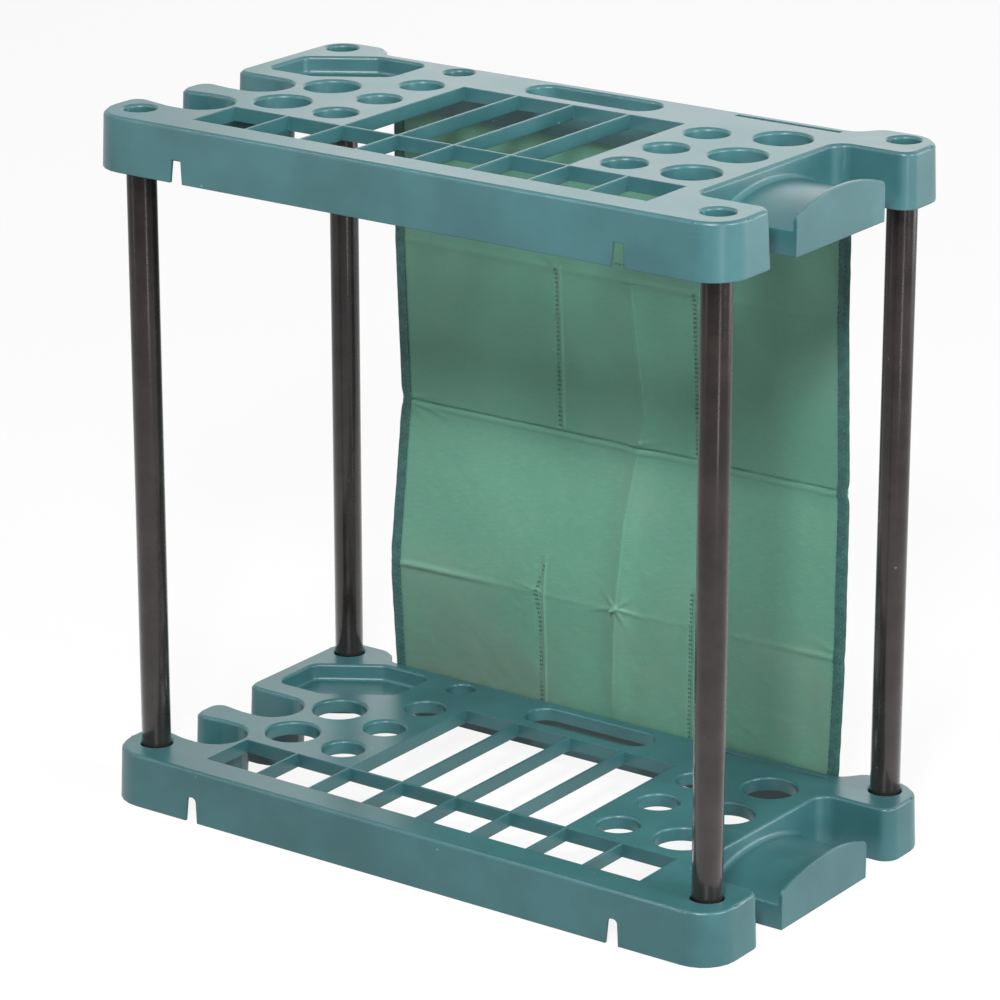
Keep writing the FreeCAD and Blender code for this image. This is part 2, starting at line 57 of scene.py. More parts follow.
def addNode(tree, kind, inputs=None, **settings):  # a node among the inputs stands for its first output
    node = tree.nodes.new("ShaderNode" + kind)
    for name, value in settings.items():
        setattr(node, name, value)
    for name, value in (inputs or {}).items():
        if isinstance(value, bpy.types.Node):
            value = value.outputs[0]
        if isinstance(value, bpy.types.NodeSocket):
            tree.links.new(value, node.inputs[name])
        else:
            node.inputs[name].default_value = value
    return node


def emptyTree(owner):
    owner.use_nodes = True
    owner.node_tree.nodes.clear()
    return owner.node_tree


def laidColours(tree, base, *layers):  # colours laid over the base in turn, each by its own share
    body = base
    for share, colour in layers:
        body = addNode(tree, "Mix", {0: share, 6: body, 7: colour}, data_type="RGBA").outputs[2]
    return body


def finishMaterial(material, inputs):
    surface = addNode(material.node_tree, "BsdfPrincipled", inputs)
    addNode(material.node_tree, "OutputMaterial", {"Surface": surface})
    return material


def perMetre(size):  # texture scale for a pattern of this size in millimetres
    return 1000 / size


plastic = {
    "colour": "#37666A",
    "shade": "#2E5A5E",
    "dust": "#5E8F8C",
    "speck": "#8FB0AC",
    "mottleSize": 70.0,
    "grainSize": 1.1,
    "scuffSize": 26.0,
    "wornSize": 130.0,
    "speckSize": 34.0,
    "swellSize": 48.0,
    "roughness": 0.34,
    "roughnessSpread": 0.03,
    "wornRoughness": 0.12,
    "edgeRound": 1.4,
}


def mouldedPolypropylene():  # injection moulded: satin skin, faint flow mottling, light scuffs
    material = bpy.data.materials.new("mouldedPolypropylene")
    tree = emptyTree(material)
    place = addNode(tree, "TexCoord").outputs["Object"]
    mottle = addNode(tree, "TexNoise", {"Vector": place, "Scale": perMetre(plastic["mottleSize"]),
                                        "Detail": 3.0, "Roughness": 0.55})
    grain = addNode(tree, "TexNoise", {"Vector": place, "Scale": perMetre(plastic["grainSize"]),
                                       "Detail": 2.0, "Roughness": 0.6})
    stretched = addNode(tree, "Mapping", {"Vector": place, "Rotation": (0.3, 0.2, 0.5),
                                          "Scale": (0.35, 1.6, 1.0)})
    scuff = addNode(tree, "TexNoise", {"Vector": stretched, "Scale": perMetre(plastic["scuffSize"]),
                                       "Detail": 9.0, "Roughness": 0.72, "Distortion": 0.4})
    scuff = addNode(tree, "MapRange", {0: scuff, 1: 0.62, 2: 0.72})
    handled = addNode(tree, "TexNoise", {"Vector": place, "Scale": perMetre(plastic["wornSize"]),
                                         "Detail": 1.0})
    handled = addNode(tree, "MapRange", {0: handled, 1: 0.5, 2: 0.62})
    worn = addNode(tree, "Math", {0: scuff, 1: handled}, operation="MULTIPLY")
    speck = addNode(tree, "TexVoronoi", {"Vector": place, "Scale": perMetre(plastic["speckSize"])})
    speck = addNode(tree, "MapRange", {0: speck, 1: 0.022, 2: 0.03, 3: 1.0, 4: 0.0})
    body = laidColours(
        tree, linear(plastic["shade"]),
        (addNode(tree, "MapRange", {0: mottle, 1: 0.35, 2: 0.65}), linear(plastic["colour"])),
        (addNode(tree, "Math", {0: worn, 1: 0.35}, operation="MULTIPLY"), linear(plastic["dust"])),
        (addNode(tree, "Math", {0: speck, 1: 0.5}, operation="MULTIPLY"), linear(plastic["speck"])))
    rough = addNode(tree, "MapRange", {0: mottle, 1: 0.3, 2: 0.7,
                                       3: plastic["roughness"] - plastic["roughnessSpread"],
                                       4: plastic["roughness"] + plastic["roughnessSpread"]})
    rough = addNode(tree, "Math", {0: worn, 1: plastic["wornRoughness"], 2: rough}, operation="MULTIPLY_ADD")
    edge = addNode(tree, "Bevel", {"Radius": plastic["edgeRound"] / 1000}, samples=6)
    fine = addNode(tree, "Bump", {"Strength": 0.22, "Distance": 0.0001, "Height": grain, "Normal": edge})
    swell = addNode(tree, "TexNoise", {"Vector": place, "Scale": perMetre(plastic["swellSize"]),
                                       "Detail": 1.0})
    slow = addNode(tree, "Bump", {"Strength": 0.25, "Distance": 0.0012, "Height": swell, "Normal": fine})
    return finishMaterial(material, {"Base Color": body, "Roughness": rough, "Normal": slow, "IOR": 1.5})


post = {
    "radius": 12.5,
    "wall": 1.2,
    "sides": 96,
    "endRound": 0.3,
    "colour": "#140D0C",
    "rub": "#221B19",
    # painted reflection of the floor, laid low on the post
    "paintedFloorReflection": "#2A2523",
    "scratch": "#8F8A84",
    "lineSize": 3.0,
    "cloudSize": 38.0,
    "peelSize": 1.8,
    "bendSize": 4.0,
    "scratchSize": 17.0,
    "paintedFloorReflectionBetween": (0.08, 0.56),  # metres up the post over which the painted floor reflection fades out
    "roughness": 0.24,
    "polish": 0.16,
}


def coatedSteel():  # smooth brown-black coat over tube: faint draw lines, rubs, small pale scratches
    material = bpy.data.materials.new("coatedSteelTube")
    tree = emptyTree(material)
    place = addNode(tree, "TexCoord").outputs["Object"]
    drawn = addNode(tree, "Mapping", {"Vector": place, "Scale": (1.0, 1.0, 0.02)})
    lines = addNode(tree, "TexNoise", {"Vector": drawn, "Scale": perMetre(post["lineSize"]), "Detail": 2.0})
    cloud = addNode(tree, "TexNoise", {"Vector": place, "Scale": perMetre(post["cloudSize"]),
                                       "Detail": 5.0, "Roughness": 0.65})
    peel = addNode(tree, "TexNoise", {"Vector": place, "Scale": perMetre(post["peelSize"]), "Detail": 1.0})
    bent = addNode(tree, "TexNoise", {"Vector": place, "Scale": perMetre(post["bendSize"]), "Detail": 3.0})
    strayed = addNode(tree, "VectorMath", {0: bent.outputs["Color"], 1: (0.008, 0.008, 0.008)},
                      operation="MULTIPLY")
    strayed = addNode(tree, "VectorMath", {0: place, 1: strayed}, operation="ADD")
    mark = addNode(tree, "TexVoronoi", {"Vector": strayed, "Scale": perMetre(post["scratchSize"])})
    mark = addNode(tree, "MapRange", {0: mark, 1: 0.05, 2: 0.09, 3: 1.0, 4: 0.0})
    kept = addNode(tree, "MapRange", {0: cloud, 1: 0.55, 2: 0.62, 3: 0.0, 4: 0.45})
    kept = addNode(tree, "Math", {0: mark, 1: kept}, operation="MULTIPLY")
    # painted reflection: the post is painted lighter, with more coat, low down where it reflects the floor
    height = addNode(tree, "SeparateXYZ", {0: place}).outputs["Z"]
    paintedFloorReflection = addNode(tree, "MapRange", {0: height, 1: post["paintedFloorReflectionBetween"][0], 2: post["paintedFloorReflectionBetween"][1],
                                      3: 1.0, 4: 0.0})
    patchy = addNode(tree, "MapRange", {0: cloud, 1: 0.25, 2: 0.7, 3: 0.6, 4: 1.0})
    paintedFloorReflection = addNode(tree, "Math", {0: paintedFloorReflection, 1: patchy}, operation="MULTIPLY")
    body = laidColours(
        tree, linear(post["colour"]),
        (addNode(tree, "MapRange", {0: cloud, 1: 0.45, 2: 0.75}), linear(post["rub"])),
        (paintedFloorReflection, linear(post["paintedFloorReflection"])),
        (kept, linear(post["scratch"])))
    rough = addNode(tree, "MapRange", {0: cloud, 1: 0.3, 2: 0.7, 3: post["roughness"] - 0.05,
                                       4: post["roughness"] + 0.1})
    fine = addNode(tree, "Bump", {"Strength": 0.06, "Distance": 0.0001, "Height": peel})
    long = addNode(tree, "Bump", {"Strength": 0.06, "Distance": 0.00012, "Height": lines, "Normal": fine})
    return finishMaterial(material, {"Base Color": body, "Roughness": rough, "Normal": long, "IOR": 1.3,
                                     "Coat Weight": paintedFloorReflection, "Coat Roughness": post["polish"]})


cloth = {
    "width": 456.0,
    "bottom": 12.0,
    "top": 570.4,
    "middleY": 147.4,
    "thickness": 1.2,
    "cell": 4.0,
    "fineCell": 0.8,
    "fineReach": 7.0,
    "folds": [(12.0, 1.0), (144.0, None), (291.0, 8.5), (438.0, 0.6), (570.4, 0.0)],  # height and shift
    "lowFoldEnds": (-10.0, 8.5),  # the fold without a shift slants between these
    "creaseLine": [(17.7, 438.0), (27.0, 345.0), (30.0, 320.0), (23.5, 295.0), (11.6, 223.0), (6.6, 147.0),
                   (4.0, 73.0), (3.0, 12.0)],
    "creaseColumn": 10.0,
    "upperRow": (296.0, 437.0, (-60.0, 80.0)),  # foot, top and seams of the pockets
    "lowerRow": (31.0, 172.0, (-72.0, 80.0)),
    "colour": "#5E947F",
    "shade": "#538672",
    "slub": "#79AE98",
    "pit": "#417362",
    "dust": "#7E9A8E",
    "lowGrey": "#5F7468",
    # painted shade colour, laid over the cloth above the middle fold
    "paintedShade": "#3F7260",
    "threadPitch": 0.6,  # coarser than the real weave, which would not show
    "unevenSize": 90.0,
    "dustSize": 170.0,
    "crumpleSize": 26.0,
    "lowGreyBetween": (0.06, 0.19),  # metres up the cloth over which it turns greyer and darker towards the bottom
    "paintedShadeFrom": (0.27, 0.288),  # painted shade: the cloth is painted darker green above the middle fold
}


def wovenPolyester():  # thin coated weave: soft sheen, uneven picks that run across
    material = bpy.data.materials.new("wovenPolyester")
    tree = emptyTree(material)
    place = addNode(tree, "UVMap", uv_map="UVMap")
    across = addNode(tree, "Mapping", {"Vector": place, "Scale": (0.06, 1.0, 1.0)})
    down = addNode(tree, "Mapping", {"Vector": place, "Scale": (1.0, 0.03, 1.0)})
    picks = addNode(tree, "TexNoise", {"Vector": across, "Scale": perMetre(cloth["threadPitch"]),
                                       "Detail": 3.0, "Roughness": 0.6})
    ends = addNode(tree, "TexNoise", {"Vector": down, "Scale": perMetre(cloth["threadPitch"]), "Detail": 2.0})
    uneven = addNode(tree, "TexNoise", {"Vector": place, "Scale": perMetre(cloth["unevenSize"]),
                                        "Detail": 4.0})
    dust = addNode(tree, "TexNoise", {"Vector": place, "Scale": perMetre(cloth["dustSize"]),
                                      "Detail": 5.0, "Roughness": 0.6})
    level = addNode(tree, "SeparateXYZ", {0: place}).outputs["Y"]
    # the cloth turns greyer and darker towards the bottom, in patches
    low = addNode(tree, "MapRange", {0: level, 1: cloth["lowGreyBetween"][0], 2: cloth["lowGreyBetween"][1],
                                     3: 1.0, 4: 0.0})
    lowGreyed = addNode(tree, "MapRange", {0: dust, 1: 0.38, 2: 0.6, 3: 0.05, 4: 0.75})
    lowGreyed = addNode(tree, "Math", {0: low, 1: lowGreyed}, operation="MULTIPLY")
    # painted shade: the cloth turns darker green above the middle fold, where it lies in shade
    high = addNode(tree, "MapRange", {0: level, 1: cloth["paintedShadeFrom"][0], 2: cloth["paintedShadeFrom"][1],
                                      3: 0.0, 4: 0.4})
    body = laidColours(
        tree, linear(cloth["shade"]),
        (addNode(tree, "MapRange", {0: uneven, 1: 0.3, 2: 0.7, 3: 0.2, 4: 0.6}), linear(cloth["colour"])),
        (addNode(tree, "MapRange", {0: picks, 1: 0.5, 2: 0.74, 3: 0.0, 4: 0.38}), linear(cloth["slub"])),
        (addNode(tree, "MapRange", {0: picks, 1: 0.28, 2: 0.45, 3: 0.3, 4: 0.0}), linear(cloth["pit"])),
        (addNode(tree, "MapRange", {0: ends, 1: 0.3, 2: 0.5, 3: 0.3, 4: 0.0}), linear(cloth["shade"])),
        (addNode(tree, "MapRange", {0: dust, 1: 0.5, 2: 0.68, 3: 0.0, 4: 0.3}), linear(cloth["dust"])),
        (lowGreyed, linear(cloth["lowGrey"])),
        (high, linear(cloth["paintedShade"])))
    rough = addNode(tree, "MapRange", {0: picks, 1: 0.3, 2: 0.7, 3: 0.42, 4: 0.6})
    woven = addNode(tree, "Math", {0: picks, 1: ends}, operation="ADD")
    crumple = addNode(tree, "TexNoise", {"Vector": place, "Scale": perMetre(cloth["crumpleSize"]),
                                         "Detail": 3.0, "Roughness": 0.5, "Distortion": 0.6})
    soft = addNode(tree, "Bump", {"Strength": 0.5, "Distance": 0.0016, "Height": crumple})
    bump = addNode(tree, "Bump", {"Strength": 0.3, "Distance": 0.00016, "Height": woven, "Normal": soft})
    return finishMaterial(material, {"Base Color": body, "Roughness": rough, "Normal": bump,
                                     "Sheen Weight": 0.25, "Sheen Roughness": 0.4})


def ribbedTape(name, colour, rib, pitch):  # grosgrain: fine cords across the tape, drawn coarse to show
    material = bpy.data.materials.new(name)
    tree = emptyTree(material)
    place = addNode(tree, "UVMap", uv_map="UVMap")
    ribs = addNode(tree, "TexWave", {"Vector": place, "Scale": perMetre(pitch) * math.pi / 10,
                                     "Distortion": 0.6, "Detail": 1.0, "Detail Scale": 3.0},
                   wave_type="BANDS", bands_direction="Y", wave_profile="SIN")
    uneven = addNode(tree, "TexNoise", {"Vector": place, "Scale": perMetre(9.0), "Detail": 4.0})
    rubbed = addNode(tree, "MapRange", {0: uneven, 1: 0.4, 2: 0.75, 3: 0.0, 4: 0.3})
    body = laidColours(tree, linear(rib), (ribs, linear(colour)), (rubbed, linear("#4C8A80")))
    bump = addNode(tree, "Bump", {"Strength": 0.5, "Distance": 0.0003, "Height": ribs})
    return finishMaterial(material, {"Base Color": body, "Normal": bump, "Roughness": 0.62,
                                     "Sheen Weight": 0.2})


def spunThread(name, dark, light):  # twisted polyester sewing thread with a slight gloss
    material = bpy.data.materials.new(name)
    tree = emptyTree(material)
    place = addNode(tree, "TexCoord").outputs["Object"]
    twist = addNode(tree, "TexNoise", {"Vector": place, "Scale": perMetre(0.5), "Detail": 1.0})
    twist = addNode(tree, "MapRange", {0: twist, 1: 0.35, 2: 0.65})
    body = laidColours(tree, linear(dark), (twist, linear(light)))
    return finishMaterial(material, {"Base Color": body, "Roughness": 0.45})


def glossPlastic():  # small moulded push rivets, smoother than the shelves
    material = bpy.data.materials.new("smoothMouldedPlastic")
    tree = emptyTree(material)
    place = addNode(tree, "TexCoord").outputs["Object"]
    cloud = addNode(tree, "TexNoise", {"Vector": place, "Scale": perMetre(5.0), "Detail": 3.0})
    body = laidColours(tree, linear("#1E4B4A"), (cloud, linear("#2A5F5D")))
    rough = addNode(tree, "MapRange", {0: cloud, 1: 0.3, 2: 0.7, 3: 0.2, 4: 0.3})
    return finishMaterial(material, {"Base Color": body, "Roughness": rough})


shelfFinish = mouldedPolypropylene()
postFinish = coatedSteel()
clothFinish = wovenPolyester()
tapeFinish = ribbedTape("sewnEdgeTape", "#20524D", "#18423F", 1.1)
webbingFinish = ribbedTape("flatWebbing", "#2B645E", "#1D4643", 1.8)
seamThreadFinish = spunThread("spunSeamThread", "#1C453B", "#33695A")
edgeThreadFinish = spunThread("spunEdgeThread", "#2C645C", "#4E8C80")
rivetFinish = glossPlastic()
print("stage: materials")


def selectOnly(piece):
    bpy.ops.object.select_all(action="DESELECT")
    piece.select_set(True)
    bpy.context.view_layer.objects.active = piece


def applyModifier(piece, kind, **settings):
    selectOnly(piece)
    modifier = piece.modifiers.new(kind.title(), kind)
    for name, value in settings.items():
        setattr(modifier, name, value)
    bpy.ops.object.modifier_apply(modifier=modifier.name)


def editMesh(piece, *steps):  # runs each mesh operator in turn on the whole mesh
    selectOnly(piece)
    bpy.ops.object.mode_set(mode="EDIT")
    for operator, settings in steps:
        bpy.ops.mesh.select_all(action="SELECT")
        operator(**settings)
    bpy.ops.object.mode_set(mode="OBJECT")


def shadeSmooth(piece, degrees):  # edges sharper than this stay hard
    selectOnly(piece)
    bpy.ops.object.shade_smooth_by_angle(angle=math.radians(degrees))


def finishPiece(piece, body, slotName, material, *replaced):
    piece.data.materials.clear()
    piece.data.materials.append(material)
    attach(piece, body)
    if replaced:
        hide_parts(*replaced)


shelf = {
    "mergeWithin": 0.02,
    "flatWithin": 0.8,
    "rollUnder": 52.0,
}


def flatRegions(mesh, edgeFaces):  # number of the flat region that each triangle belongs to
    flat = math.cos(math.radians(shelf["flatWithin"]))
    region = [-1] * len(mesh.polygons)
    beside = [[] for face in mesh.polygons]
    for pair in edgeFaces.values():
        if len(pair) == 2 and mesh.polygons[pair[0]].normal.dot(mesh.polygons[pair[1]].normal) > flat:
            beside[pair[0]].append(pair[1])
            beside[pair[1]].append(pair[0])
    count = 0
    for start in range(len(region)):
        if region[start] < 0:
            region[start] = count
            waiting = [start]
            while waiting:
                for other in beside[waiting.pop()]:
                    if region[other] < 0:
                        region[other] = count
                        waiting.append(other)
            count += 1
    return region, count


def rollEdges(mesh):  # wide faces stay flat to their borders and the narrow bands between shade as rolls
    edgeFaces = {}
    for face in mesh.polygons:
        for key in face.edge_keys:
            edgeFaces.setdefault(key, []).append(face.index)
    region, count = flatRegions(mesh, edgeFaces)
    areas = [0.0] * count
    sums = [Vector() for i in range(count)]
    around = [[] for vertex in mesh.vertices]
    for face in mesh.polygons:
        areas[region[face.index]] += face.area
        sums[region[face.index]] += face.normal * face.area
        for corner in face.vertices:
            around[corner].append(face.index)
    rolled = math.cos(math.radians(shelf["rollUnder"]))
    normals = [None] * len(mesh.loops)
    for corner, faces in enumerate(around):
        waiting = set(faces)
        while waiting:
            group = [waiting.pop()]
            for face in group:
                normal = mesh.polygons[face].normal
                for key in mesh.polygons[face].edge_keys:
                    if corner in key:
                        for other in edgeFaces[key]:
                            if other in waiting and normal.dot(mesh.polygons[other].normal) > rolled:
                                waiting.remove(other)
                                group.append(other)
            total = Vector()
            for part in {region[face] for face in group}:
                total += sums[part].normalized() * areas[part] ** 2
            for face in group:
                for loop in mesh.polygons[face].loop_indices:
                    if mesh.loops[loop].vertex_index == corner:
                        normals[loop] = total.normalized()
    for face in mesh.polygons:
        face.use_smooth = True
    mesh.normals_split_custom_set(normals)


def shelfMoulding(name, nodeName):  # the moulding itself, with its edges rolled
    piece = nodes[nodeName].copy()
    piece.data = nodes[nodeName].data.copy()
    for key in list(piece.keys()):
        del piece[key]
    piece.parent = None
    piece.name = name
    bpy.context.scene.collection.objects.link(piece)
    editMesh(piece, (bpy.ops.mesh.remove_doubles, {"threshold": shelf["mergeWithin"] / 1000}),
             (bpy.ops.mesh.quads_convert_to_tris, {}))
    rollEdges(piece.data)
    finishPiece(piece, "rack", "shelf_plastic", shelfFinish, nodeName)
    return piece


upperShelf = shelfMoulding("upperShelf", "upper_shelf")
lowerShelf = shelfMoulding("lowerShelf", "lower_shelf")
print("stage: shelves", len(upperShelf.data.polygons), len(lowerShelf.data.polygons))


def postTube(name, nodeName):
    low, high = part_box(nodeName)
    bpy.ops.object.select_all(action="DESELECT")
    bpy.ops.mesh.primitive_cylinder_add(vertices=post["sides"], radius=post["radius"] / 1000,
                                        depth=high.z - low.z, end_fill_type="NOTHING",
                                        location=(low + high) / 2)
    piece = bpy.context.object
    piece.name = name
    bpy.ops.object.transform_apply(location=True, rotation=True, scale=True)
    applyModifier(piece, "SOLIDIFY", thickness=post["wall"] / 1000, offset=-1.0)
    applyModifier(piece, "BEVEL", width=post["endRound"] / 1000, segments=2, limit_method="ANGLE",
                  angle_limit=math.radians(60))
    shadeSmooth(piece, 30)
    finishPiece(piece, "rack", "post_coating", postFinish, nodeName)


for depthWord in ("Front", "Rear"):
    for sideWord in ("Left", "Right"):
        postTube("post" + depthWord + sideWord, "_".join(("post", depthWord, sideWord)).lower())
print("stage: posts")


def smoothStep(value):
    value = min(1.0, max(0.0, value))
    return value * value * (3 - 2 * value)


def ridge(distance, width):  # 1 on a line, falling off on both sides
    return math.exp(-(distance / width) ** 2)


def segmentDistance(x, z, start, end):
    run = Vector((end[0] - start[0], end[1] - start[1]))
    reach = Vector((x - start[0], z - start[1]))
    share = min(1.0, max(0.0, reach.dot(run) / run.length_squared))
    return (reach - run * share).length, share


halfWidth = cloth["width"] / 2
panelHeight = cloth["top"] - cloth["bottom"]
lowFold, midFold, highFold = [level for level, shift in cloth["folds"][1:-1]]


def clothLine(x):
    share = x / cloth["width"] + 0.5
    left, right = cloth["lowFoldEnds"]
    return [(z, left + (right - left) * share if shift is None else shift) for z, shift in cloth["folds"]]


def hangDepth(x, z):  # straight falls between the folds, eased a little at each
    line = clothLine(x)
    eases = (-7.0, -3.5, 0.0, 3.5, 7.0)
    total = 0.0
    for offset in eases:
        level = min(cloth["top"], max(cloth["bottom"], z + offset))
        for (lowZ, lowY), (highZ, highY) in zip(line, line[1:]):
            if level <= highZ:
                total += lowY + (highY - lowY) * (level - lowZ) / (highZ - lowZ)
                break
    return total / len(eases)


def creaseX(z):
    line = cloth["creaseLine"]
    for (highX, highZ), (lowX, lowZ) in zip(line, line[1:]):
        if z >= lowZ:
            return highX + (lowX - highX) * min(1.0, (highZ - z) / (highZ - lowZ))
    return line[-1][0]


packed = {  # depths of what packing and sewing leave
    "swells": [(120, 150, 3.0, 1.6), (45, 60, 8.0, 0.7)],  # width, height, seed and depth
    "drawn": 0.45,
    "crumple": 0.22,
    "groove": 2.2,
    "grooveLip": 0.7,
    "highRidge": 1.0,
    "lowRidge": 0.35,
    "lowRidgeEnds": 1.7,
    "bends": (3.6, 2.2, 0.6),
    "bendWidth": 11.0,
    "crease": 0.8,
    "pull": 2.2,
    "seamDip": 0.9,
    "seamRidge": 1.1,
    "pucker": 0.25,
    "pullReach": (60, 45),
}

wrinkles = [  # start, end, width and height of each small pull in the cloth
    ((-222, 291), (-176, 281), 2.0, 0.7), ((-222, 289), (-182, 266), 2.2, 0.6),
    ((-221, 293), (-186, 300), 2.0, 0.4), ((-216, 284), (-200, 262), 2.0, 0.45),
    ((6.6, 147), (30, 165), 1.6, 0.8), ((6.6, 147), (-17, 168), 1.6, 0.7),
    ((6.6, 147), (34, 142), 1.5, 0.7), ((6.6, 147), (-22, 139), 1.6, 0.75),
    ((6.6, 147), (22, 122), 1.7, 0.65), ((6.6, 147), (-6, 118), 1.7, 0.6),
    ((-60, 440), (-44, 452), 2.0, 0.5), ((-60, 440), (-78, 450), 2.0, 0.45),
    ((-60, 438), (-52, 420), 1.8, 0.35), ((80, 440), (95, 450), 2.0, 0.35),
    ((-68, 175), (-50, 186), 2.0, 0.4), ((-72, 146), (-96, 150), 2.2, 0.45),
    ((222, 291), (196, 284), 2.0, 0.35), ((24, 296), (52, 303), 2.0, 0.4),
    ((24, 296), (-6, 286), 2.0, 0.4), ((222, 150), (190, 158), 2.4, 0.4),
]


def foldDepth(x, z):  # the pressed groove of the middle fold and the soft ridges of the other two
    pressed = 0.8 + 0.5 * noise.noise(Vector((x / 22, 2.0, 7.0)))
    groove = packed["groove"] * ridge(z - midFold - 0.2, 1.1)
    groove -= packed["grooveLip"] * ridge(z - midFold + 3.5, 2.0)
    high = packed["highRidge"] * ridge(z - highFold, 3.0)
    high *= 0.7 + 0.6 * noise.noise(Vector((x / 14, 1.0, 5.0)))
    ends = smoothStep((-110 - x) / 70) + 0.5 * smoothStep((x - 150) / 60)
    low = (packed["lowRidge"] + packed["lowRidgeEnds"] * ends) * ridge(z - lowFold, 2.6)
    return pressed * groove - high - low


def creaseDepth(x, z):  # the long crease stands out towards the front
    side = x - creaseX(z)
    low, middle, high = packed["bends"]
    bend = low if z < midFold else (middle if z < highFold - 2 else high)
    rise = bend * ridge(side, packed["bendWidth"]) * smoothStep((z - 20) / 60)
    sharp = ridge(side + 0.6, 1.5) * smoothStep((highFold + 7 - z) / 10) * smoothStep((z - 30) / 60)
    return -rise - packed["crease"] * sharp


def seamDepth(x, z):  # a dip under the stitches, a ridge beside it and puckers along it
    depth = 0.0
    for foot, top, seams in (cloth["upperRow"], cloth["lowerRow"]):
        if foot - 6 < z < top + 6:
            fade = smoothStep((z - foot + 6) / 6) * smoothStep((top + 6 - z) / 6)
            for seam in seams:
                depth += fade * packed["seamDip"] * ridge(x - seam, 1.8)
                depth -= fade * packed["seamRidge"] * ridge(x - seam - 4.5, 1.0)
                depth += fade * packed["pucker"] * math.sin(z * 1.75) * ridge(x - seam, 4.0)
    return depth


def detailDepth(x, z):  # what packing and sewing leave in the cloth, towards the front where negative
    depth = 0.0
    for width, height, seed, size in packed["swells"]:
        depth += noise.noise(Vector((x / width, z / height, seed))) * size
    depth += noise.noise(Vector((x / 26, z / 190, 21.0))) * packed["drawn"] * smoothStep((z - midFold) / 30)
    depth += noise.noise(Vector((x / 15 + z / 60, z / 26, 12.0))) * packed["crumple"]
    depth += foldDepth(x, z) + creaseDepth(x, z) + seamDepth(x, z)
    for start, end, width, height in wrinkles:
        if abs(x - start[0]) < packed["pullReach"][0] and abs(z - start[1]) < packed["pullReach"][1]:
            distance, share = segmentDistance(x, z, start, end)
            depth -= packed["pull"] * height * ridge(distance, width) * (1 - share * 0.8)
    flatEdge = smoothStep((halfWidth - abs(x)) / 14)
    return depth * (0.2 + 0.8 * flatEdge) * smoothStep((cloth["top"] - z + 4) / 22)


def panelDepth(x, z):
    return cloth["middleY"] + hangDepth(x, z) + detailDepth(x, z)


def shapedGrid(name, columns, rows, place, size):  # a flat grid whose points are drawn into place
    bpy.ops.object.select_all(action="DESELECT")
    bpy.ops.mesh.primitive_grid_add(x_subdivisions=columns, y_subdivisions=rows, size=1, calc_uvs=True)
    piece = bpy.context.object
    piece.name = name
    for vertex in piece.data.vertices:
        x, y, z = place(vertex.co.x + 0.5, vertex.co.y + 0.5)
        vertex.co = (x / 1000, y / 1000, z / 1000)
    for corner in piece.data.uv_layers.active.data:
        corner.uv = (corner.uv.x * size[0] / 1000, corner.uv.y * size[1] / 1000)
    return piece


def turnUv(piece):  # the pattern runs along the other way
    for corner in piece.data.uv_layers.active.data:
        corner.uv = (corner.uv.y, corner.uv.x)


def clothPiece(piece, thickness, offset=0.0):
    applyModifier(piece, "SOLIDIFY", thickness=thickness / 1000, offset=offset)
    shadeSmooth(piece, 50)


def closerNear(low, high, lines):  # places from low to high, set closer beside the lines
    places = [low]
    while places[-1] < high:
        gap = min(abs(places[-1] - line) for line in lines)
        spread = max(0.0, gap - cloth["fineReach"])
        places.append(places[-1] + min(cloth["cell"], cloth["fineCell"] + 0.35 * spread))
    scale = (high - low) / (places[-1] - low)
    return [low + (place - low) * scale for place in places]


leftSeam, rightSeam = cloth["upperRow"][2]
rowPlaces = closerNear(cloth["bottom"], cloth["top"], [lowFold, midFold, highFold])
columnPlaces = closerNear(-halfWidth, halfWidth, [leftSeam, cloth["creaseColumn"], rightSeam])


def panelPoint(u, v):  # the columns near the crease follow it
    z = rowPlaces[round(v * (len(rowPlaces) - 1))]
    x = columnPlaces[round(u * (len(columnPlaces) - 1))]
    away = abs(x - cloth["creaseColumn"]) - 12
    x += (creaseX(z) - cloth["creaseColumn"]) * (1 - smoothStep(away / 50))
    return x, panelDepth(x, z), z


backPanel = shapedGrid("organiserPanel", len(columnPlaces) - 1, len(rowPlaces) - 1, panelPoint,
                       (cloth["width"], panelHeight))
for corner, loop in zip(backPanel.data.uv_layers.active.data, backPanel.data.loops):
    point = backPanel.data.vertices[loop.vertex_index].co
    corner.uv = (point.x, point.z)
clothPiece(backPanel, cloth["thickness"])
finishPiece(backPanel, "organiser", "cloth", clothFinish, "organiser_back_panel")
print("stage: back panel", len(backPanel.data.polygons))


pocket = {
    "edge": 218.8,
    "height": 141.0,
    "gap": 0.8,
    "bulge": 11.0,
    "footBulge": 0.5,
    "seam": 4.0,
    "thickness": 0.96,
    "columns": 146,
    "rows": 48,
    "hemSection": [(-0.75, -9.0), (-0.75, -3.0), (-0.75, 0.0), (-0.35, 0.7),  # off the cloth, up
                   (0.35, 0.7), (0.75, 0.0), (0.75, -3.0), (0.75, -9.0)],
    "hemGirth": 18.0,
    "hemThickness": 0.5,
}


def pocketRise(x, z, row):  # how far a pocket stands off the panel: full at the mouth, flat at its seams
    foot, top, seams = row
    stops = [-pocket["edge"], *seams, pocket["edge"]]
    share = (z - foot) / (top - foot)
    fullness = pocket["bulge"] - pocket["footBulge"]
    for left, right in zip(stops, stops[1:]):
        if left <= x <= right:
            width = right - left - pocket["seam"]
            along = min(1.0, max(0.0, (x - left - pocket["seam"] / 2) / width))
            crown = math.sin(math.pi * along) ** 0.8
            bulge = pocket["footBulge"] + fullness * smoothStep(share * 0.9) ** 0.8
            pleat = 0.5 * ridge(along - 0.12, 0.03) + 0.5 * ridge(along - 0.88, 0.03)
            wave = noise.noise(Vector((x / 26, z / 50, foot))) * 0.9 * crown
            return bulge * crown * 0.97 - pleat * (1 - share) + wave * 0.5
    return 0.0


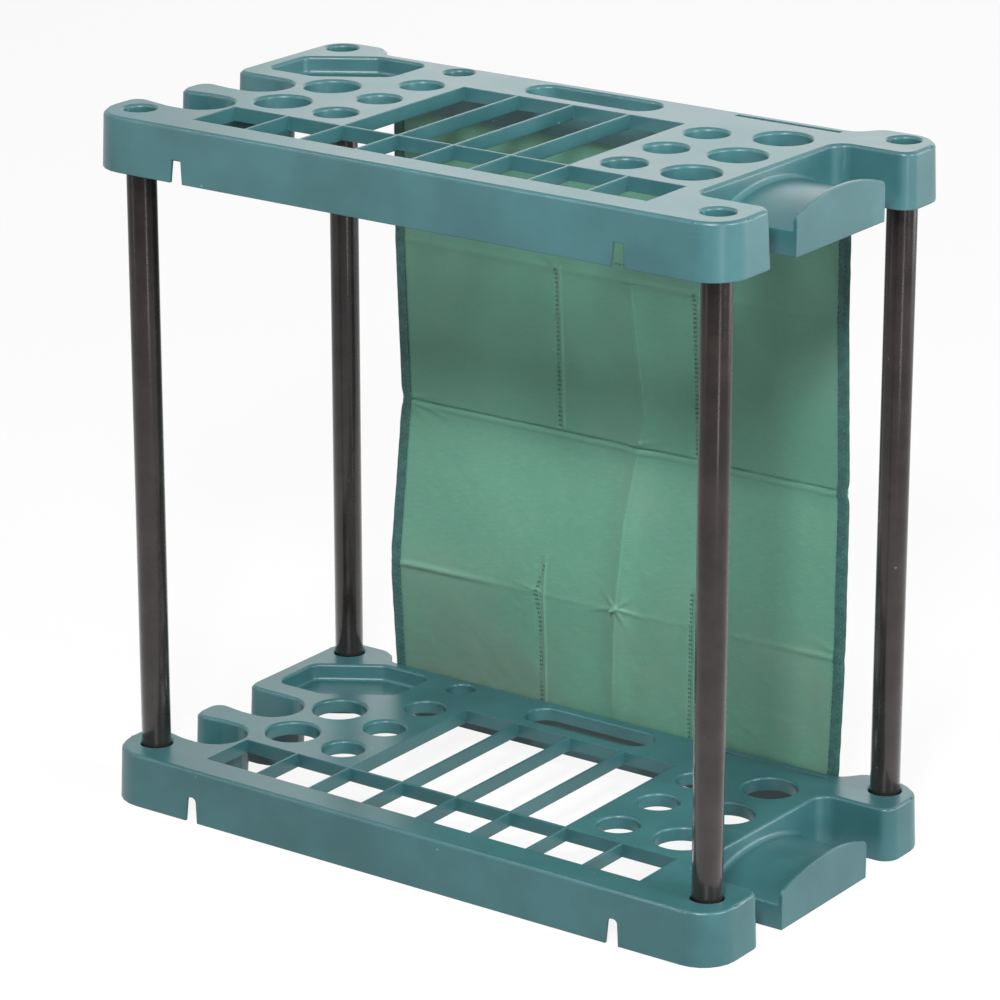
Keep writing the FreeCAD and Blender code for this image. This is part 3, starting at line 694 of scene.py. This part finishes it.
def pocketY(x, z, row):
    base = cloth["middleY"] + hangDepth(x, z) + detailDepth(x, z) * 0.5
    return base + cloth["thickness"] + pocket["gap"] + max(0.0, pocketRise(x, z, row))


def pocketRow(name, nodeName, row):
    foot, top, seams = row

    def place(u, v):
        x = (0.5 - u) * 2 * pocket["edge"]
        z = foot + v * (top - foot)
        return x, pocketY(x, z, row), z

    piece = shapedGrid(name, pocket["columns"], pocket["rows"], place, (2 * pocket["edge"], top - foot))
    clothPiece(piece, pocket["thickness"])
    finishPiece(piece, "organiser", "cloth", clothFinish, nodeName)
    return piece


upperPockets = pocketRow("organiserUpperPockets", "organiser_upper_pockets", cloth["upperRow"])
lowerPockets = pocketRow("organiserLowerPockets", "organiser_lower_pockets", cloth["lowerRow"])


def hemTape(name, nodeName, row):  # tape folded over a pocket row's upper edge
    section = pocket["hemSection"]
    top = row[1]

    def place(u, v):
        x = (0.5 - u) * 2 * pocket["edge"]
        out, rise = section[round(v * (len(section) - 1))]
        return x, pocketY(x, min(top, top + rise), row) + out, top + rise

    piece = shapedGrid(name, pocket["columns"], len(section) - 1, place,
                       (2 * pocket["edge"], pocket["hemGirth"]))
    turnUv(piece)
    clothPiece(piece, pocket["hemThickness"], 1.0)
    finishPiece(piece, "organiser", "binding_tape", tapeFinish, nodeName)
    return piece


upperHem = hemTape("organiserUpperPocketHem", "organiser_upper_pocket_hem", cloth["upperRow"])
lowerHem = hemTape("organiserLowerPocketHem", "organiser_lower_pocket_hem", cloth["lowerRow"])


binding = {
    "edge": 0.5,
    "reach": 1.1,
    "thickness": 0.7,
    "girth": 22.0,
    "sideSection": [(-9, -1), (-5, -1), (-1.5, -1), (0.1, -0.6), (0.5, 0), (0.1, 0.6),  # past the edge, side
                    (-1.5, 1), (-5, 1), (-9, 1)],
    "footSection": [(9, -1), (4, -1), (1.2, -1), (0, -0.6), (-0.4, 0), (0, 0.6), (1.2, 1), (4, 1), (9, 1)],
    "footEdge": -0.4,
    "sideRows": 190,
    "footColumns": 140,
}


def edgePinch(z):  # how far the folds draw the cloth's edges in
    return 2.2 * ridge(z - midFold, 6.0) + 0.8 * ridge(z - lowFold, 8.0)


def sideTape(name, nodeName, side):
    section = binding["sideSection"]
    inner = section[0][0]

    def place(u, v):
        z = cloth["bottom"] + v * panelHeight
        past, face = section[round(u * (len(section) - 1))]
        across = halfWidth + binding["edge"] + past
        wave = 0.35 * noise.noise(Vector((z / 11, side, 2.0)))
        pinch = edgePinch(z) * (1.0 if past > inner + 1 else 0.6)
        x = side * (across + wave - pinch)
        swell = binding["reach"] + 0.25 * noise.noise(Vector((z / 17, across / 6, side)))
        return x, panelDepth(min(halfWidth, max(-halfWidth, x)), z) + face * swell, z

    piece = shapedGrid(name, len(section) - 1, binding["sideRows"], place, (binding["girth"], panelHeight))
    if side < 0:
        editMesh(piece, (bpy.ops.mesh.flip_normals, {}))
    clothPiece(piece, binding["thickness"], 1.0)
    finishPiece(piece, "organiser", "binding_tape", tapeFinish, nodeName)
    return piece


def bottomTape(name, nodeName):
    section = binding["footSection"]
    end = halfWidth - section[0][0]
    edge = cloth["bottom"] + binding["footEdge"]

    def place(u, v):
        x = (u - 0.5) * 2 * end
        up, face = section[round(v * (len(section) - 1))]
        return x, panelDepth(x, max(cloth["bottom"], edge + up)) + face * binding["reach"], edge + up

    piece = shapedGrid(name, binding["footColumns"], len(section) - 1, place, (2 * end, binding["girth"]))
    turnUv(piece)
    editMesh(piece, (bpy.ops.mesh.flip_normals, {}))
    clothPiece(piece, binding["thickness"], 1.0)
    finishPiece(piece, "organiser", "binding_tape", tapeFinish, nodeName)
    return piece


leftTape = sideTape("organiserLeftBinding", "organiser_left_binding", -1)
rightTape = sideTape("organiserRightBinding", "organiser_right_binding", 1)
lowerTape = bottomTape("organiserBottomBinding", "organiser_bottom_binding")
print("stage: pockets and tapes")


strip = {
    "edgeRound": 0.7,
    "slices": 60,
    "waves": 24,  # per metre
    "waveHeight": 0.4,
}


def headerStrip(name, nodeName):
    low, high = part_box(nodeName)
    centre = (low + high) / 2
    bpy.ops.object.select_all(action="DESELECT")
    bpy.ops.mesh.primitive_cube_add(size=1, location=centre, calc_uvs=True)
    piece = bpy.context.object
    piece.name = name
    piece.scale = high - low
    bpy.ops.object.transform_apply(location=True, rotation=True, scale=True)
    cuts = [low.x + (high.x - low.x) * i / strip["slices"] for i in range(1, strip["slices"])]
    rounding = {"offset": strip["edgeRound"] / 1000, "segments": 3, "affect": "EDGES"}
    editMesh(piece, (bpy.ops.mesh.bevel, rounding),
             *[(bpy.ops.mesh.bisect, {"plane_co": (x, 0, 0), "plane_no": (1, 0, 0)}) for x in cuts])
    for vertex in piece.data.vertices:  # the webbing's rear face isn't quite flat
        lift = noise.noise(vertex.co * strip["waves"]) * strip["waveHeight"] / 1000
        if vertex.co.y > centre.y:
            vertex.co.y += lift
    for corner, loop in zip(piece.data.uv_layers.active.data, piece.data.loops):
        point = piece.data.vertices[loop.vertex_index].co
        corner.uv = (point.z, point.x)
    shadeSmooth(piece, 40)
    finishPiece(piece, "rack", "strap_webbing", webbingFinish, nodeName)
    return piece


stripPiece = headerStrip("organiserHeaderStrip", "organiser_header_strip")


rivet = {
    "spacing": 130.0,
    "count": 4,
    "head": [(0.0, 0.0), (1.6, 0.1), (3.2, 0.4), (4.7, 0.95), (5.6, 1.5),  # radius, below the crown
             (6.0, 1.8), (5.8, 2.2), (2.4, 2.2)],
    "tail": [(2.4, 2.0), (4.0, 2.0), (3.7, 0.0), (0.0, 0.0)],  # radius, above the tip
    "steps": 32,
}


def rivetShape(x, low, high):  # one profile spun about the rivet's axis
    z = (low.z + high.z) / 2
    points = [(x + radius / 1000, high.y - below / 1000, z) for radius, below in rivet["head"]]
    points += [(x + radius / 1000, low.y + above / 1000, z) for radius, above in rivet["tail"]]
    mesh = bpy.data.meshes.new("rivetOutline")
    mesh.from_pydata(points, [(i, i + 1) for i in range(len(points) - 1)], [])
    piece = bpy.data.objects.new("rivet", mesh)
    bpy.context.scene.collection.objects.link(piece)
    editMesh(piece, (bpy.ops.mesh.spin, {"steps": rivet["steps"], "angle": 2 * math.pi,
                                         "center": (x, low.y, z), "axis": (0, 1, 0)}),
             (bpy.ops.mesh.remove_doubles, {"threshold": 0.00001}),
             (bpy.ops.mesh.normals_make_consistent, {"inside": False}))
    return piece


def rivetRow(name, nodeName):
    low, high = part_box(nodeName)
    middle = (rivet["count"] - 1) / 2
    shapes = [rivetShape((i - middle) * rivet["spacing"] / 1000, low, high) for i in range(rivet["count"])]
    for shape in shapes:
        shape.select_set(True)
    bpy.context.view_layer.objects.active = shapes[0]
    bpy.ops.object.join()
    piece = shapes[0]
    piece.name = name
    shadeSmooth(piece, 35)
    finishPiece(piece, "rack", "rivet_plastic", rivetFinish, nodeName)


rivetRow("organiserRivets", "organiser_rivets")
print("stage: header strip and rivets")


stitch = {
    "length": 1.9,  # longer and wider apart than the real ones, which would not show
    "radius": 0.5,
    "pitch": 4.0,
    "tapePitch": 4.4,
    "stray": (0.15, 0.12),
    "apart": 0.9,  # half the distance between a seam's two rows
    "panelLift": 0.75,
    "pocketLift": 0.62,
    "hemLift": 1.37,
    "tapeLift": 0.12,
    "swervedSeam": -72.0,
    "swerve": [(4, 172), (-4, 145), (0, 120), (0, 31)],  # shift of the seam at each height
    "rowEnd": 217.0,
    "markHeight": 452.0,
    "markEnd": 20.0,
    "hemLines": (7.6, 1.6),
    "footLines": (7.0, 2.0),
    "sideLines": (219.8, 225.6),
    "coveredAbove": 538.0,
}


def onPanel(lift):  # on the panel's front where the lift is negative
    def surface(x, z):
        return panelDepth(x, z) + lift
    return surface


def onPocket(row, lift):
    def surface(x, z):
        return pocketY(x, min(z, row[1]), row) + lift
    return surface


def stitchRow(places, start, end, *surfaces):  # a slightly uneven line of stitches on each surface
    run = (end[0] - start[0], 0, end[1] - start[1])
    count = int(math.hypot(run[0], run[2]) / stitch["pitch"])
    strayX, strayZ = stitch["stray"]
    for i in range(count):
        share = (i + 0.5) / count
        x = start[0] + run[0] * share + random.uniform(-strayX, strayX)
        z = start[1] + run[2] * share + random.uniform(-strayZ, strayZ)
        for surface in surfaces:
            places.append(((x, surface(x, z), z), run))


def stitchPlaces():  # middle of each stitch and the way it points, in the seams and along the tapes
    seamPlaces = []
    edgePlaces = []
    end = stitch["rowEnd"]
    front = onPanel(-stitch["panelLift"])
    for row in (cloth["upperRow"], cloth["lowerRow"]):
        foot, top, seams = row
        pockets = onPocket(row, stitch["pocketLift"])
        hem = onPocket(row, stitch["hemLift"])
        for seam in seams:
            for line in (seam - stitch["apart"], seam + stitch["apart"]):
                corners = [(line, top + 2), (line, foot - 1)]
                if seam == stitch["swervedSeam"]:
                    corners = [(line + shift, z) for shift, z in stitch["swerve"]]
                for corner, nextCorner in zip(corners, corners[1:]):
                    stitchRow(seamPlaces, corner, nextCorner, front)
                stitchRow(seamPlaces, (line, top - 1), (line, foot + 2), pockets)
        for below in stitch["hemLines"]:
            stitchRow(edgePlaces, (-end, top - below), (end, top - below), hem)
        stitchRow(seamPlaces, (-end, foot + 2), (end, foot + 2), pockets)
    stitchRow(seamPlaces, (-end, stitch["markHeight"]), (stitch["markEnd"], stitch["markHeight"]), front)

    lift = binding["reach"] + binding["thickness"] + stitch["tapeLift"]
    for side in (-1, 1):
        for across in stitch["sideLines"]:
            z = cloth["bottom"] + 3
            while z < cloth["top"] - 3:
                x = side * (across - edgePinch(z) * 0.8)
                if z < stitch["coveredAbove"]:  # higher up the shelf's skirt lies against the front
                    edgePlaces.append(((x, panelDepth(x, z) - lift, z), (0, 0, 1)))
                edgePlaces.append(((x, panelDepth(x, z) + lift, z), (0, 0, 1)))
                z += stitch["tapePitch"]
    for above in stitch["footLines"]:
        z = cloth["bottom"] + above
        stitchRow(edgePlaces, (-end, z), (end, z), onPanel(-lift), onPanel(lift))
    return seamPlaces, edgePlaces


def stitchModel():  # one thread's short visible length, in millimetres
    bpy.ops.object.select_all(action="DESELECT")
    bpy.ops.mesh.primitive_cylinder_add(vertices=6, radius=stitch["radius"], depth=stitch["length"])
    piece = bpy.context.object
    rounding = {"offset": stitch["radius"] * 0.6, "segments": 1, "affect": "EDGES"}
    editMesh(piece, (bpy.ops.mesh.bevel, rounding))
    return piece


def sewnThread(name, places, material):  # all stitches of one thread as a single piece
    model = stitchModel()
    points = [vertex.co.copy() for vertex in model.data.vertices]
    faces = [list(face.vertices) for face in model.data.polygons]
    bpy.data.objects.remove(model)
    allPoints = []
    allFaces = []
    for place, run in places:
        turn = Vector((0, 0, 1)).rotation_difference(Vector(run).normalized())
        start = len(allPoints)
        for point in points:
            moved = turn @ point
            allPoints.append([(moved[k] + place[k]) / 1000 for k in range(3)])
        allFaces += [[start + corner for corner in face] for face in faces]
    mesh = bpy.data.meshes.new(name)
    mesh.from_pydata(allPoints, [], allFaces)
    piece = bpy.data.objects.new(name, mesh)
    bpy.context.scene.collection.objects.link(piece)
    for face in mesh.polygons:
        face.use_smooth = True
    finishPiece(piece, "organiser", "binding_tape", material)
    return piece


seamPlaces, edgePlaces = stitchPlaces()
seamStitching = sewnThread("organiserSeamStitching", seamPlaces, seamThreadFinish)
edgeStitching = sewnThread("organiserEdgeStitching", edgePlaces, edgeThreadFinish)
print("stage: stitching", len(seamPlaces), len(edgePlaces))


view = {
    "place": (2.00736, -2.81827, 1.4501),
    "lens": 159.58,
    "sensor": 36.0,
    "pitch": 18.638,
    "turn": 35.626,
}

cameraData = bpy.data.cameras.new("camera")
cameraData.lens = view["lens"]
cameraData.sensor_width = view["sensor"]
camera = bpy.data.objects.new("camera", cameraData)
camera.location = view["place"]
camera.rotation_euler = (math.radians(90 - view["pitch"]), 0, math.radians(view["turn"]))
bpy.context.scene.collection.objects.link(camera)
bpy.context.scene.camera = camera


lamps = {  # place, what it points at, width, height and power
    "backPanelLight": ((-1.4, 3.3, 1.5), (0, 0, 0.45), 2.5, 1.8, 16),
    "frontKey": ((1.35, -2.3, 2.28), (0, 0, 0.3), 0.5, 0.5, 96),
    "rightKey": ((3.0, 0.1, 1.45), (0, 0, 0.3), 1.0, 1.0, 70),
    "cornerStrip": ((2.4, -1.45, 0.4), (0, 0, 0.3), 0.22, 0.8, 8),
    "rimSpot": ((-1.7, -1.35, 2.5), (0, 0, 0.5), 0.3, 0.3, 11),
    "frontHigh": ((0.35, -1.2, 3.1), (0, 0, 0.3), 0.5, 0.5, 26),
    "rightRearLow": ((2.3, 2.5, 0.75), (0, 0, 0.35), 1.6, 1.1, 34),
    "leftFrontLow": ((-2.1, -2.7, 0.8), (0, 0, 0.3), 0.5, 1.2, 6),
}

for name, (place, target, width, height, power) in lamps.items():
    data = bpy.data.lights.new(name, "AREA")
    data.shape = "RECTANGLE"
    data.size = width
    data.size_y = height
    data.energy = power
    light = bpy.data.objects.new(name, data)
    light.location = place
    light.rotation_euler = (Vector(target) - Vector(place)).to_track_quat("-Z", "Y").to_euler()
    bpy.context.scene.collection.objects.link(light)


room = {
    "white": (1, 1, 1, 1),
    "wallLight": 0.12,
    "floorSize": 9.0,
    "floorShare": 0.9,
    "floorLit": (0.36, 0.36, 0.36, 1),
    "floorSeen": (0.95, 0.95, 0.95, 1),
}


def seenRays(tree):  # 1 for what the eye, a reflection or a see-through surface shows, 0 for lighting
    rays = addNode(tree, "LightPath").outputs
    seen = addNode(tree, "Math", {0: rays["Is Camera Ray"], 1: rays["Is Glossy Ray"]}, operation="MAXIMUM")
    return addNode(tree, "Math", {0: seen, 1: rays["Is Transmission Ray"]}, operation="MAXIMUM")


def paleWorld():  # looks white, and lights the rack far more weakly than it looks
    world = bpy.data.worlds.new("paleRoom")
    bpy.context.scene.world = world
    tree = emptyTree(world)
    faint = addNode(tree, "Background", {"Color": room["white"], "Strength": room["wallLight"]})
    plain = addNode(tree, "Background", {"Color": room["white"], "Strength": 1.0})
    mixed = addNode(tree, "MixShader", {0: seenRays(tree), 1: faint, 2: plain})
    addNode(tree, "OutputWorld", {"Surface": mixed})


def paleFloor():  # looks nearly white, and gives back little light from below
    bpy.ops.object.select_all(action="DESELECT")
    bpy.ops.mesh.primitive_plane_add(size=room["floorSize"], location=(0, 0, 0))
    floor = bpy.context.object
    floor.name = "floor"
    material = bpy.data.materials.new("paintedFloor")
    tree = emptyTree(material)
    seen = seenRays(tree)
    part = addNode(tree, "Math", {0: seen, 1: room["floorShare"]}, operation="MULTIPLY")
    paint = laidColours(tree, room["floorLit"], (seen, room["floorSeen"]))
    matt = addNode(tree, "BsdfDiffuse", {"Color": paint})
    glow = addNode(tree, "Emission", {"Color": room["white"], "Strength": 1.0})
    mixed = addNode(tree, "MixShader", {0: part, 1: matt, 2: glow})
    addNode(tree, "OutputMaterial", {"Surface": mixed})
    floor.data.materials.append(material)


paleWorld()
paleFloor()
bpy.context.scene.view_settings.view_transform = "Standard"
print("stage: light and camera")
